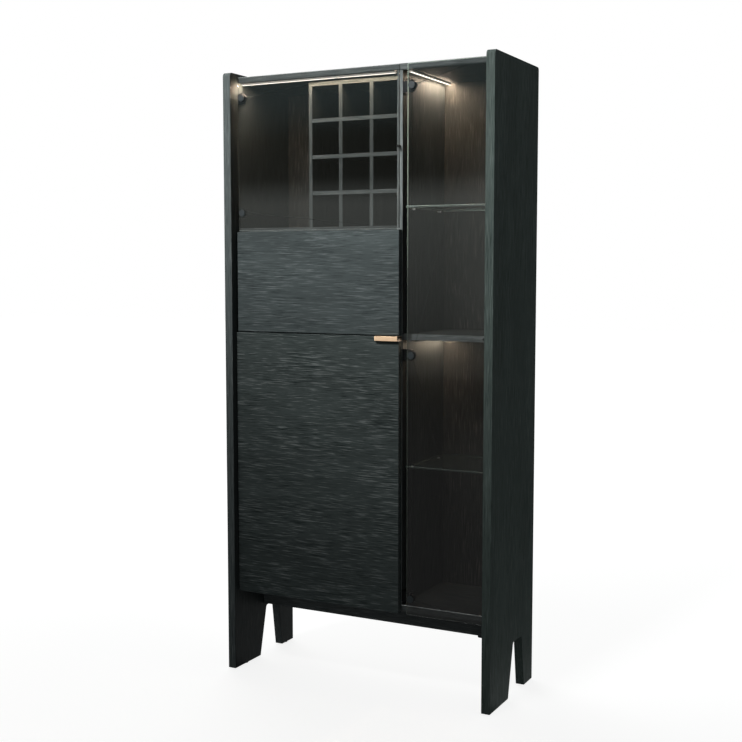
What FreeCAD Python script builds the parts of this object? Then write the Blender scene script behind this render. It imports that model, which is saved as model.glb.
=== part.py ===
import FreeCAD, Part
import os
import Sketcher

# Bar armoire: a black oak cabinet on panel legs, with a lit bottle bay, a drop-down bar
# and a glass display column.
# Millimetres, +Z up, front towards -Y, origin on the floor below the middle of the cabinet.

doc = FreeCAD.newDocument("bar_armoire")
sheet = doc.addObject("Spreadsheet::Sheet", "dims")

SIZES = {
    # whole cabinet
    "width": 874,
    "depth": 345,
    "height": 1830,
    "side_thickness": 26,
    "board_thickness": 18,
    "top_drop": 10,
    "base_height": 251,
    "divider_offset": 134,
    "back_thickness": 6,
    "back_inset": 6,
    # panel legs
    "glide_radius": 10,
    "glide_height": 4,
    "front_leg_foot": 145,
    "front_leg_root": 182,
    "rear_leg_foot": 70,
    "rear_leg_root": 93,
    "leg_opening": 160,
    "leg_opening_round": 8,
    "side_front_round": 12,
    "side_rear_round": 8,
    "side_ease": 1.5,
    # apron rail under the bottom panel
    "apron_setback": 165,
    "apron_drop": 81,
    # wood door and flap
    "door_recess": 20,
    "door_thickness": 20,
    "door_clearance": 3,
    "door_seam": 3,
    "door_drop": 3,
    "door_top_reveal": 4,
    "door_side_gap": 2.5,
    "door_end_reveal": 0.5,
    "door_ease": 1,
    "flap_side_gap": 8,
    "flap_lap": 6,
    "flap_height": 300,
    # copper pull
    "pull_width": 74,
    "pull_thickness": 13.5,
    "pull_reach": 10,
    "pull_round": 1.2,
    # glass doors
    "glass_thickness": 5,
    "glass_setback": 2,
    "glass_side_gap": 12,
    "display_reveal": 24,
    "display_end_gap": 3.5,
    # shelves
    "display_shelf_rise": 7.5,
    "upper_glass_shelf_drop": 377.5,
    "lower_glass_shelf_rise": 407,
    "cupboard_shelf_rise": 391,
    "shelf_glass_thickness": 6,
    "shelf_setback": 18,
    "shelf_end_gap": 1,
    "seat_clearance": 0.1,
    # bottle rack
    "rack_board": 11.5,
    "cell_width": 90,
    "cell_height": 94.5,
    "rack_setback": 27,
    "rack_head_room": 10,
    "slot_clearance": 0.15,
    # shelf pegs, dowels, screws
    "peg_radius": 2.5,
    "peg_reach": 9,
    "peg_depth": 6,
    "peg_inset": 45,
    "dowel_radius": 4,
    "dowel_seat": 8,
    "dowel_depth": 22,
    "dowel_inset": 45,
    "hole_clearance": 0.05,
    "screw_radius": 1.75,
    "screw_depth": 16,
    "screw_head_radius": 4,
    "screw_head_height": 2,
    "screw_inset": 60,
    "screw_cap_radius": 6,
    "screw_cap_depth": 2,
    "screw_cap_inset": 33,
    # glass door hinges
    "glass_axis_reach": 9.5,
    "glass_axis_depth": 4,
    "cup_offset": 3.5,
    "cup_radius": 12,
    "cup_depth": 10,
    "cap_radius": 10,
    "cap_thickness": 2.2,
    "stud_radius": 5,
    "stud_clearance": 0.2,
    "pin_radius": 2,
    "pin_clearance": 0.05,
    "ear_radius": 3.5,
    "ear_thickness": 3.5,
    "ear_clearance": 0.5,
    "bar_half_width": 2.5,
    "arm_root": 12,
    "arm_thickness": 6,
    "plate_thickness": 2.5,
    "plate_length": 27,
    "glass_hinge_top_inset": 61,
    "upper_hinge_bottom_inset": 54,
    "display_hinge_bottom_inset": 47,
    "display_hinge_drop": 60.5,
    # wood door and flap hinges
    "door_axis_reach": 7.5,
    "flap_axis_reach": 6,
    "wood_axis_depth": 6,
    "mortise_clearance": 3.2,
    "leaf_half_width": 3,
    "leaf_depth": 10,
    "leaf_half_height": 8,
    "wood_ear_radius": 2.9,
    "wood_ear_thickness": 4,
    "wood_ear_clearance": 0.4,
    "wood_bar_half_width": 2.2,
    "wood_pin_radius": 1.5,
    "root_clearance": 0.5,
    "flange_rise": 8,
    "mortise_end_clearance": 0.6,
    "door_hinge_end_gap": 110,
    "flap_hinge_end_gap": 90,
    # push latches
    "latch_radius": 4,
    "latch_clearance": 0.3,
    "upper_latch_drop": 226,
    "flap_latch_drop": 46,
    "lower_latch_rise": 102,
    "display_latch_inset": 12,
    # light profiles
    "light_width": 12,
    "light_height": 6,
    "light_base": 1.5,
    "light_wall": 1.2,
    "light_setback": 2,
    "light_end_gap": 10,
    "display_light_offset": 14,
    "strip_thickness": 0.8,
    # light driver behind the apron
    "driver_inset": 26,
    "driver_width": 60,
    "driver_depth": 30,
    "driver_drop": 12,
    "driver_rise": 70,
    "driver_round": 4,
    "inlet_width": 22,
    "inlet_height": 14,
    "inlet_depth": 6,
}
for row, (alias, value) in enumerate(SIZES.items(), 1):
    sheet.set(f"A{row}", str(value))
    sheet.setAlias(f"A{row}", alias)
doc.recompute()

nodes = {}
TURN = {
    "x": FreeCAD.Rotation(FreeCAD.Vector(0, 1, 0), 90),
    "y": FreeCAD.Rotation(FreeCAD.Vector(1, 0, 0), -90),
    "z": FreeCAD.Rotation(),
}


def bind(obj, expressions):
    """Tie properties of an object to the sheet."""
    for name, expression in expressions.items():
        obj.setExpression(name, expression)
    return obj


def place(obj, x, y, z, rotation=None):
    """Set a rotation and tie the position to the sheet."""
    obj.Placement = FreeCAD.Placement(FreeCAD.Vector(), rotation or FreeCAD.Rotation())
    return bind(obj, {"Placement.Base.x": x, "Placement.Base.y": y, "Placement.Base.z": z})


def box(name, x, y, z):
    """Rectangular block between a low and a high expression on each axis."""
    block = doc.addObject("Part::Box", name)
    spans = {"Length": x, "Width": y, "Height": z}
    bind(block, {side: f"{high} - {low}" for side, (low, high) in spans.items()})
    return place(block, x[0], y[0], z[0])


def rod(name, axis, centre, span, radius):
    """Round bar along one axis; centre gives its place on the other two, in the order x, y, z."""
    cylinder = doc.addObject("Part::Cylinder", name)
    bind(cylinder, {"Radius": radius, "Height": f"{span[1]} - {span[0]}"})
    at = dict(zip([letter for letter in "xyz" if letter != axis], centre))
    at[axis] = span[0]
    return place(cylinder, at["x"], at["y"], at["z"], TURN[axis])


def group(name, pieces):
    """Several separate solids kept together."""
    compound = doc.addObject("Part::Compound", name)
    compound.Links = pieces
    return compound


def fuse(name, pieces):
    """One solid from overlapping or touching blocks."""
    union = doc.addObject("Part::MultiFuse", name)
    union.Shapes = pieces
    union.Refine = True
    return union


def cut(name, base, tools):
    """Base with every tool taken away."""
    result = doc.addObject("Part::Cut", name)
    result.Base = base
    result.Tool = tools[0] if len(tools) == 1 else group(f"{name}_tools", tools)
    return result


def node(obj):
    """Mark an object as a finished sub-part."""
    nodes[obj.Name] = obj
    return obj


def origin_plane(body, role):
    """One of a body's own origin planes."""
    return next(plane for plane in body.Origin.OriginFeatures if plane.Role == role)


def polygon(body, role, points):
    """Closed sketch on an origin plane whose corner coordinates are expressions."""
    sketch = body.newObject("Sketcher::SketchObject", f"{body.Name}_outline")
    sketch.AttachmentSupport = (origin_plane(body, role), [""])
    sketch.MapMode = "FlatFace"
    count = len(points)
    turn = FreeCAD.Rotation(FreeCAD.Vector(0, 0, 1), 360 / count)
    corners = [FreeCAD.Vector(1, 0, 0)]
    while len(corners) < count:
        corners.append(turn.multVec(corners[-1]))
    for index in range(count):
        sketch.addGeometry(Part.LineSegment(corners[index], corners[(index + 1) % count]))
    for index in range(count):
        sketch.addConstraint(Sketcher.Constraint("Coincident", index, 2, (index + 1) % count, 1))
    for index, (across, up) in enumerate(points):
        for kind, axis, value in (("DistanceX", -2, across), ("DistanceY", -1, up)):
            if value == "0":
                sketch.addConstraint(Sketcher.Constraint("PointOnObject", index, 1, axis))
            else:
                entry = sketch.addConstraint(Sketcher.Constraint(kind, -1, 1, index, 1, 1.0))
                sketch.setExpression(f"Constraints[{entry}]", value)
    return sketch


def padded(name, role, points, thickness, reverse=False):
    """Body made by padding one outline."""
    body = doc.addObject("PartDesign::Body", name)
    sketch = polygon(body, role, points)
    pad = body.newObject("PartDesign::Pad", f"{name}_pad")
    pad.Profile = sketch
    pad.Reversed = reverse
    pad.setExpression("Length", thickness)
    sketch.Visibility = False
    doc.recompute()
    return body


def rounded(body, name, radius, chosen):
    """Fillet of the edges of a body's tip that pass a test on their bounding box."""
    tip = body.Tip
    edges = []
    for number, edge in enumerate(tip.Shape.Edges, 1):
        if chosen(edge.BoundBox):
            edges.append(f"Edge{number}")
    fillet = body.newObject("PartDesign::Fillet", name)
    fillet.Base = (tip, edges)
    fillet.setExpression("Radius", radius)
    doc.recompute()
    return body


def near(first, second):
    """Same length to within a thousandth of a millimetre."""
    return abs(first - second) < 0.001


# Cells of the bottle rack
COLUMNS = 3
ROWS = 4

# Planes that the boards share
LEFT = "(-dims.width / 2 + dims.side_thickness)"
RIGHT = "(dims.width / 2 - dims.side_thickness)"
FRONT = "(-dims.depth / 2)"
DOOR_FRONT = f"({FRONT} + dims.door_recess)"
DOOR_BACK = f"({DOOR_FRONT} + dims.door_thickness)"
CARCASS_FRONT = f"({DOOR_BACK} + dims.door_clearance)"
BACK_REAR = "(dims.depth / 2 - dims.back_inset)"
BACK_FACE = f"({BACK_REAR} - dims.back_thickness)"
DIVIDER_LEFT = "(dims.divider_offset - dims.board_thickness / 2)"
DIVIDER_RIGHT = "(dims.divider_offset + dims.board_thickness / 2)"
TOP_UPPER = "(dims.height - dims.top_drop)"
TOP_LOWER = f"({TOP_UPPER} - dims.board_thickness)"
BASE_UPPER = "(dims.base_height + dims.board_thickness)"
RACK_TOP_UPPER = f"({TOP_LOWER} - dims.rack_head_room)"
CEILING_UPPER = f"({RACK_TOP_UPPER} - {ROWS} * (dims.cell_height + dims.rack_board))"
CEILING_LOWER = f"({CEILING_UPPER} - dims.board_thickness)"
FLAP_TOP = f"({CEILING_LOWER} + dims.flap_lap)"
FLAP_BOTTOM = f"({FLAP_TOP} - dims.flap_height)"
LOWER_DOOR_TOP = f"({FLAP_BOTTOM} - dims.door_seam)"
DECK_UPPER = f"({FLAP_BOTTOM} + dims.flap_axis_reach + dims.door_thickness - dims.wood_axis_depth)"
DECK_LOWER = f"({DECK_UPPER} - dims.board_thickness)"
SHELF_UPPER = f"({LOWER_DOOR_TOP} + dims.display_shelf_rise)"
SHELF_LOWER = f"({SHELF_UPPER} - dims.board_thickness)"
DOOR_BOTTOM = "(dims.base_height - dims.door_drop)"
GLASS_TOP = f"({TOP_UPPER} - dims.door_top_reveal)"
GLASS_BOTTOM = f"({FLAP_TOP} + dims.door_seam)"
LEFT_DOORS_END = f"({DIVIDER_RIGHT} - dims.door_end_reveal)"
CUPBOARD_SHELF_UPPER = f"({BASE_UPPER} + dims.cupboard_shelf_rise)"
CUPBOARD_SHELF_LOWER = f"({CUPBOARD_SHELF_UPPER} - dims.board_thickness)"

# Dowels between the boards, and the bores they sit in
dowels = []
bores = []


def dowel(axis, centre, span):
    """One dowel and its bore."""
    number = len(dowels)
    dowels.append(rod(f"dowel_{number}", axis, centre, span, "dims.dowel_radius"))
    bores.append(rod(f"bore_{number}", axis, centre, span, "dims.dowel_radius + dims.hole_clearance"))


def middle(lower):
    """Mid height of a board given its underside."""
    return f"({lower} + dims.board_thickness / 2)"


DOWEL_ROWS = (f"({CARCASS_FRONT} + dims.dowel_inset)", f"({BACK_FACE} - dims.dowel_inset)")
for underside, low_end, high_end in (
    (TOP_LOWER, LEFT, RIGHT),
    ("dims.base_height", LEFT, RIGHT),
    (DECK_LOWER, LEFT, DIVIDER_LEFT),
    (CEILING_LOWER, LEFT, DIVIDER_LEFT),
    (SHELF_LOWER, DIVIDER_RIGHT, RIGHT),
):
    low_joint = (f"({low_end} - dims.dowel_seat)", f"({low_end} + dims.dowel_depth)")
    high_joint = (f"({high_end} - dims.dowel_depth)", f"({high_end} + dims.dowel_seat)")
    for row in DOWEL_ROWS:
        dowel("x", (row, middle(underside)), low_joint)
        dowel("x", (row, middle(underside)), high_joint)
DIVIDER_FOOT = (f"({BASE_UPPER} - dims.dowel_seat)", f"({BASE_UPPER} + dims.dowel_depth)")
DIVIDER_HEAD = (f"({TOP_LOWER} - dims.dowel_depth)", f"({TOP_LOWER} + dims.dowel_seat)")
for row in DOWEL_ROWS:
    dowel("z", ("dims.divider_offset", row), DIVIDER_FOOT)
    dowel("z", ("dims.divider_offset", row), DIVIDER_HEAD)
APRON_FRONT = f"({FRONT} + dims.apron_setback)"
APRON_BACK = f"({APRON_FRONT} + dims.board_thickness)"
APRON_LOWER = "(dims.base_height - dims.apron_drop)"
APRON_PLACE = (f"({APRON_FRONT} + dims.board_thickness / 2)", "(dims.base_height - dims.apron_drop / 2)")
dowel("x", APRON_PLACE, (f"({LEFT} - dims.dowel_seat)", f"({LEFT} + dims.dowel_depth)"))
dowel("x", APRON_PLACE, (f"({RIGHT} - dims.dowel_depth)", f"({RIGHT} + dims.dowel_seat)"))
node(group("carcass_dowels", dowels))
all_bores = group("all_bores", bores)

# Screws through the back panel into the boards
screws = []
screw_bores = []
SCREW_COLUMNS = (
    f"({LEFT} + dims.screw_inset)",
    f"({DIVIDER_LEFT} - dims.screw_inset)",
    f"({RIGHT} - dims.screw_inset)",
)
screw_places = []
for column in SCREW_COLUMNS:
    screw_places.append((column, middle(TOP_LOWER)))
    screw_places.append((column, middle("dims.base_height")))
for column in SCREW_COLUMNS[:2]:
    screw_places.append((column, middle(DECK_LOWER)))
    screw_places.append((column, middle(CEILING_LOWER)))
screw_places.append((SCREW_COLUMNS[2], middle(SHELF_LOWER)))
screw_places.append(("dims.divider_offset", f"({LOWER_DOOR_TOP} / 2)"))
for number, spot in enumerate(screw_places):
    shank_span = (f"({BACK_FACE} - dims.screw_depth)", BACK_REAR)
    head_span = (BACK_REAR, f"({BACK_REAR} + dims.screw_head_height)")
    shank = rod(f"screw_shank_{number}", "y", spot, shank_span, "dims.screw_radius")
    head = rod(f"screw_head_{number}", "y", spot, head_span, "dims.screw_head_radius")
    screws.append(fuse(f"screw_{number}", [shank, head]))
    bore_radius = "dims.screw_radius + dims.hole_clearance"
    screw_bores.append(rod(f"screw_bore_{number}", "y", spot, shank_span, bore_radius))
node(group("back_panel_screws", screws))
all_screw_bores = group("all_screw_bores", screw_bores)

# Shelf pegs in the walls, and the holes they sit in
pegs = {}
peg_holes = []
UPPER_GLASS_UPPER = f"({TOP_LOWER} - dims.upper_glass_shelf_drop)"
UPPER_GLASS_LOWER = f"({UPPER_GLASS_UPPER} - dims.shelf_glass_thickness)"
LOWER_GLASS_UPPER = f"({BASE_UPPER} + dims.lower_glass_shelf_rise)"
LOWER_GLASS_LOWER = f"({LOWER_GLASS_UPPER} - dims.shelf_glass_thickness)"
SHELF_FRONT = f"({CARCASS_FRONT} + dims.shelf_setback)"
for family, underside, low_wall, high_wall in (
    ("glass_shelf_pegs", UPPER_GLASS_LOWER, DIVIDER_RIGHT, RIGHT),
    ("glass_shelf_pegs", LOWER_GLASS_LOWER, DIVIDER_RIGHT, RIGHT),
    ("cupboard_shelf_pegs", CUPBOARD_SHELF_LOWER, LEFT, DIVIDER_LEFT),
):
    for row in (f"({SHELF_FRONT} + dims.peg_inset)", f"({BACK_FACE} - dims.peg_inset)"):
        spot = (row, f"({underside} - dims.peg_radius - dims.seat_clearance)")
        for low, high in (
            (f"({low_wall} - dims.peg_depth)", f"({low_wall} + dims.peg_reach)"),
            (f"({high_wall} - dims.peg_reach)", f"({high_wall} + dims.peg_depth)"),
        ):
            number = len(peg_holes)
            peg = rod(f"peg_{number}", "x", spot, (low, high), "dims.peg_radius")
            pegs.setdefault(family, []).append(peg)
            hole_radius = "dims.peg_radius + dims.hole_clearance"
            peg_holes.append(rod(f"peg_hole_{number}", "x", spot, (low, high), hole_radius))
for family, members in pegs.items():
    node(group(family, members))
all_peg_holes = group("all_peg_holes", peg_holes)

# Side panels: one outline with the leg cut-out, rounded at the top corners, arrises eased
SIDE_OUTLINE = [
    ("0", "dims.glide_height"),
    ("dims.front_leg_foot", "dims.glide_height"),
    ("dims.front_leg_root", "dims.leg_opening"),
    ("dims.depth - dims.rear_leg_root", "dims.leg_opening"),
    ("dims.depth - dims.rear_leg_foot", "dims.glide_height"),
    ("dims.depth", "dims.glide_height"),
    ("dims.depth", "dims.height"),
    ("0", "dims.height"),
]
CAP_PLACE = ("(dims.depth / 2 - dims.screw_cap_inset)", middle("dims.base_height"))
screw_caps = []
size = {name: sheet.get(name) for name in ("depth", "height", "leg_opening", "glide_height")}
for hand, outer in (("left", "(-dims.width / 2)"), ("right", "(dims.width / 2)")):
    panel = padded(f"{hand}_side_blank", "YZ_Plane", SIDE_OUTLINE, "dims.side_thickness")
    rounded(
        panel, f"{hand}_front_round", "dims.side_front_round",
        lambda b: near(b.YMax, 0) and near(b.ZMin, size["height"]),
    )
    rounded(
        panel, f"{hand}_rear_round", "dims.side_rear_round",
        lambda b: near(b.YMin, size["depth"]) and near(b.ZMin, size["height"]),
    )
    rounded(
        panel, f"{hand}_opening_round", "dims.leg_opening_round",
        lambda b: near(b.ZMin, size["leg_opening"]) and near(b.ZLength, 0) and near(b.YLength, 0),
    )
    rounded(
        panel, f"{hand}_ease", "dims.side_ease",
        lambda b: near(b.XLength, 0) and not near(b.ZMax, size["glide_height"]),
    )
    low_x = "(-dims.width / 2)" if hand == "left" else RIGHT
    place(panel, low_x, FRONT, "0")
    toward_middle = 1 if hand == "left" else -1
    cap_inner = f"({outer} + {toward_middle} * dims.screw_cap_depth)"
    cap_span = (outer, cap_inner) if hand == "left" else (cap_inner, outer)
    screw_caps.append(rod(f"{hand}_screw_cap", "x", CAP_PLACE, cap_span, "dims.screw_cap_radius"))
    pocket_radius = "dims.screw_cap_radius + dims.hole_clearance"
    cap_pocket = rod(f"{hand}_cap_pocket", "x", CAP_PLACE, cap_span, pocket_radius)
    node(cut(f"{hand}_side_panel", panel, [all_bores, all_peg_holes, cap_pocket]))
node(group("side_screw_caps", screw_caps))

# Glides under the four legs
glides = []
for hand, middle_x in (
    ("left", "(-dims.width / 2 + dims.side_thickness / 2)"),
    ("right", "(dims.width / 2 - dims.side_thickness / 2)"),
):
    for leg, middle_y in (
        ("front", f"({FRONT} + dims.front_leg_foot / 2)"),
        ("rear", "(dims.depth / 2 - dims.rear_leg_foot / 2)"),
    ):
        spot = (middle_x, middle_y)
        glides.append(rod(f"{hand}_{leg}_glide", "z", spot, ("0", "dims.glide_height"), "dims.glide_radius"))
node(group("leg_glides", glides))

# Carcass boards
RUN = (CARCASS_FRONT, BACK_FACE)
BOARD_TOOLS = [all_bores, all_screw_bores]
for name, x, y, z in (
    ("top_panel", (LEFT, RIGHT), RUN, (TOP_LOWER, TOP_UPPER)),
    ("bottom_panel", (LEFT, RIGHT), RUN, ("dims.base_height", BASE_UPPER)),
    ("bar_deck", (LEFT, DIVIDER_LEFT), RUN, (DECK_LOWER, DECK_UPPER)),
    ("bar_ceiling", (LEFT, DIVIDER_LEFT), RUN, (CEILING_LOWER, CEILING_UPPER)),
    ("display_shelf", (DIVIDER_RIGHT, RIGHT), RUN, (SHELF_LOWER, SHELF_UPPER)),
    ("apron_rail", (LEFT, RIGHT), (APRON_FRONT, APRON_BACK), (APRON_LOWER, "dims.base_height")),
):
    node(cut(name, box(f"{name}_blank", x, y, z), BOARD_TOOLS))
divider_blank = box("divider_blank", (DIVIDER_LEFT, DIVIDER_RIGHT), RUN, (BASE_UPPER, TOP_LOWER))
node(cut("center_divider", divider_blank, [all_bores, all_screw_bores, all_peg_holes]))
back_blank = box("back_blank", (LEFT, RIGHT), (BACK_FACE, BACK_REAR), ("dims.base_height", TOP_UPPER))
node(cut("back_panel", back_blank, [all_screw_bores]))

# Loose shelves on their pegs
SHELF_RUN = (SHELF_FRONT, f"({BACK_FACE} - dims.shelf_end_gap)")
DISPLAY_SPAN = (f"({DIVIDER_RIGHT} + dims.shelf_end_gap)", f"({RIGHT} - dims.shelf_end_gap)")
CUPBOARD_SPAN = (f"({LEFT} + dims.shelf_end_gap)", f"({DIVIDER_LEFT} - dims.shelf_end_gap)")
node(box("upper_glass_shelf", DISPLAY_SPAN, SHELF_RUN, (UPPER_GLASS_LOWER, UPPER_GLASS_UPPER)))
node(box("lower_glass_shelf", DISPLAY_SPAN, SHELF_RUN, (LOWER_GLASS_LOWER, LOWER_GLASS_UPPER)))
node(box("cupboard_shelf", CUPBOARD_SPAN, SHELF_RUN, (CUPBOARD_SHELF_LOWER, CUPBOARD_SHELF_UPPER)))

# Bottle rack against the divider: uprights slotted from the front, cross boards from the back
RACK_FRONT = f"({CARCASS_FRONT} + dims.rack_setback)"
RACK_MIDDLE = f"(({RACK_FRONT} + {BACK_FACE}) / 2)"
RACK_RUN = (RACK_FRONT, BACK_FACE)
RACK_LEFT = f"({DIVIDER_LEFT} - {COLUMNS} * (dims.cell_width + dims.rack_board))"
RACK_UPPER = f"({RACK_TOP_UPPER} - dims.rack_board)"
RACK_HEIGHTS = (CEILING_UPPER, RACK_UPPER)


def upright_span(number):
    """Left and right face of a rack upright, the side board being number 0."""
    low = f"({RACK_LEFT} + {number} * (dims.cell_width + dims.rack_board))"
    return (low, f"({low} + dims.rack_board)")


def cross_span(number):
    """Lower and upper face of a cross board, counted from 1."""
    low = f"({CEILING_UPPER} + {number} * dims.cell_height + {number - 1} * dims.rack_board)"
    return (low, f"({low} + dims.rack_board)")


def widened(span):
    """A span with the slot clearance on both sides."""
    return (f"({span[0]} - dims.slot_clearance)", f"({span[1]} + dims.slot_clearance)")


node(box("rack_side", upright_span(0), RACK_RUN, RACK_HEIGHTS))
node(box("rack_top", (RACK_LEFT, DIVIDER_LEFT), RACK_RUN, (RACK_UPPER, RACK_TOP_UPPER)))
uprights = range(1, COLUMNS)
crosses = range(1, ROWS)
for number in uprights:
    blank = box(f"upright_blank_{number}", upright_span(number), RACK_RUN, RACK_HEIGHTS)
    slots = []
    for level in crosses:
        slot_run = (RACK_FRONT, f"({RACK_MIDDLE} + dims.slot_clearance)")
        slot_heights = widened(cross_span(level))
        slots.append(box(f"slot_{number}_{level}", upright_span(number), slot_run, slot_heights))
    node(cut(f"rack_upright_{number}", blank, slots))
CROSS_REACH = (upright_span(0)[1], DIVIDER_LEFT)
for level in crosses:
    blank = box(f"cross_blank_{level}", CROSS_REACH, RACK_RUN, cross_span(level))
    notches = []
    for number in uprights:
        notch_width = widened(upright_span(number))
        notch_run = (RACK_MIDDLE, BACK_FACE)
        notches.append(box(f"notch_{level}_{number}", notch_width, notch_run, cross_span(level)))
    node(cut(f"rack_cross_board_{level}", blank, notches))

# Hinges of the glass doors: arm and pin on the carcass, cup and cap on the pane
GLASS_FRONT = f"({DOOR_FRONT} + dims.glass_setback)"
GLASS_BACK = f"({GLASS_FRONT} + dims.glass_thickness)"
GLASS_AXIS_Y = f"({GLASS_BACK} + dims.glass_axis_depth)"
EAR_LOW = "(dims.cup_radius + dims.ear_clearance)"
EAR_HIGH = f"({EAR_LOW} + dims.ear_thickness)"


def glass_hinge(name, wall, axis_x, height):
    """Arm with two ears, pin, cup, cap and the hole for the cap's stud, at one height."""
    root = (f"({GLASS_AXIS_Y} + dims.arm_root)", f"({GLASS_AXIS_Y} + dims.arm_root + dims.arm_thickness)")
    bar_x = (f"({axis_x} - dims.bar_half_width)", f"({axis_x} + dims.ear_radius)")
    whole = (f"({height} - {EAR_HIGH})", f"({height} + {EAR_HIGH})")
    plate_run = (root[0], f"({root[0]} + dims.plate_length)")
    pieces = [
        box(f"{name}_plate", (wall, f"({wall} + dims.plate_thickness)"), plate_run, whole),
        box(f"{name}_cross", (wall, bar_x[1]), root, whole),
    ]
    for side, ear in (
        ("upper", (f"({height} + {EAR_LOW})", whole[1])),
        ("lower", (whole[0], f"({height} - {EAR_LOW})")),
    ):
        pieces.append(box(f"{name}_{side}_bar", bar_x, (GLASS_AXIS_Y, root[1]), ear))
        pieces.append(rod(f"{name}_{side}_ear", "z", (axis_x, GLASS_AXIS_Y), ear, "dims.ear_radius"))
    spot = (axis_x, GLASS_AXIS_Y)
    pin = rod(f"{name}_pin", "z", spot, whole, "dims.pin_radius")
    pin_room = "dims.pin_radius + dims.pin_clearance"
    arm_bore = rod(f"{name}_arm_bore", "z", spot, whole, pin_room)
    arm = cut(f"{name}_arm", fuse(f"{name}_arm_blank", pieces), [arm_bore])
    cup_spot = (f"({axis_x} + dims.cup_offset)", height)
    cup_run = (GLASS_BACK, f"({GLASS_BACK} + dims.cup_depth)")
    cup_blank = rod(f"{name}_cup_blank", "y", cup_spot, cup_run, "dims.cup_radius")
    cup = cut(f"{name}_cup", cup_blank, [rod(f"{name}_cup_bore", "z", spot, whole, pin_room)])
    disc_run = (f"({GLASS_FRONT} - dims.cap_thickness)", GLASS_FRONT)
    disc = rod(f"{name}_disc", "y", cup_spot, disc_run, "dims.cap_radius")
    stud = rod(f"{name}_stud", "y", cup_spot, (GLASS_FRONT, GLASS_BACK), "dims.stud_radius")
    cap = fuse(f"{name}_cap", [disc, stud])
    stud_room = "dims.stud_radius + dims.stud_clearance"
    hole = rod(f"{name}_hole", "y", cup_spot, (GLASS_FRONT, GLASS_BACK), stud_room)
    return {"arms": arm, "pins": pin, "cups": cup, "caps": cap, "holes": hole}


UPPER_EDGE = f"({LEFT} + dims.glass_side_gap)"
DISPLAY_EDGE = f"({DIVIDER_RIGHT} + dims.display_reveal)"
GLASS_DOORS = {
    "upper": {
        "wall": LEFT,
        "edge": UPPER_EDGE,
        "end": LEFT_DOORS_END,
        "bottom": GLASS_BOTTOM,
        "heights": (
            f"({GLASS_TOP} - dims.glass_hinge_top_inset)",
            f"({GLASS_BOTTOM} + dims.upper_hinge_bottom_inset)",
        ),
    },
    "display": {
        "wall": DIVIDER_RIGHT,
        "edge": DISPLAY_EDGE,
        "end": f"({RIGHT} - dims.display_end_gap)",
        "bottom": DOOR_BOTTOM,
        "heights": (
            f"({GLASS_TOP} - dims.glass_hinge_top_inset)",
            f"({SHELF_UPPER} - dims.display_hinge_drop)",
            f"({DOOR_BOTTOM} + dims.display_hinge_bottom_inset)",
        ),
    },
}
for door, plan in GLASS_DOORS.items():
    axis_x = f"({plan['edge']} + dims.glass_axis_reach)"
    hinges = []
    for number, height in enumerate(plan["heights"], 1):
        hinges.append(glass_hinge(f"{door}_hinge_{number}", plan["wall"], axis_x, height))
    for family in ("arms", "pins", "cups", "caps"):
        node(group(f"{door}_door_hinge_{family}", [hinge[family] for hinge in hinges]))
    pane_heights = (plan["bottom"], GLASS_TOP)
    pane = box(f"{door}_pane_blank", (plan["edge"], plan["end"]), (GLASS_FRONT, GLASS_BACK), pane_heights)
    node(cut(f"{door}_glass_door", pane, [hinge["holes"] for hinge in hinges]))

# Hinges of the wood door and the flap, drawn about their own axis, x from the hinge edge, y to the back
WOOD_EAR_LOW = "(dims.leaf_half_height + dims.wood_ear_clearance)"
WOOD_EAR_HIGH = f"({WOOD_EAR_LOW} + dims.wood_ear_thickness)"
WOOD_BACK = "(dims.door_thickness - dims.wood_axis_depth)"
WOOD_ROOT = f"({WOOD_BACK} + dims.root_clearance)"
CARCASS_REACH = f"({WOOD_BACK} + dims.door_clearance)"
WOOD_HEIGHTS = (f"(-{WOOD_EAR_HIGH})", WOOD_EAR_HIGH)
MORTISE_REACH = f"({WOOD_EAR_HIGH} + dims.mortise_end_clearance)"


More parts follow.
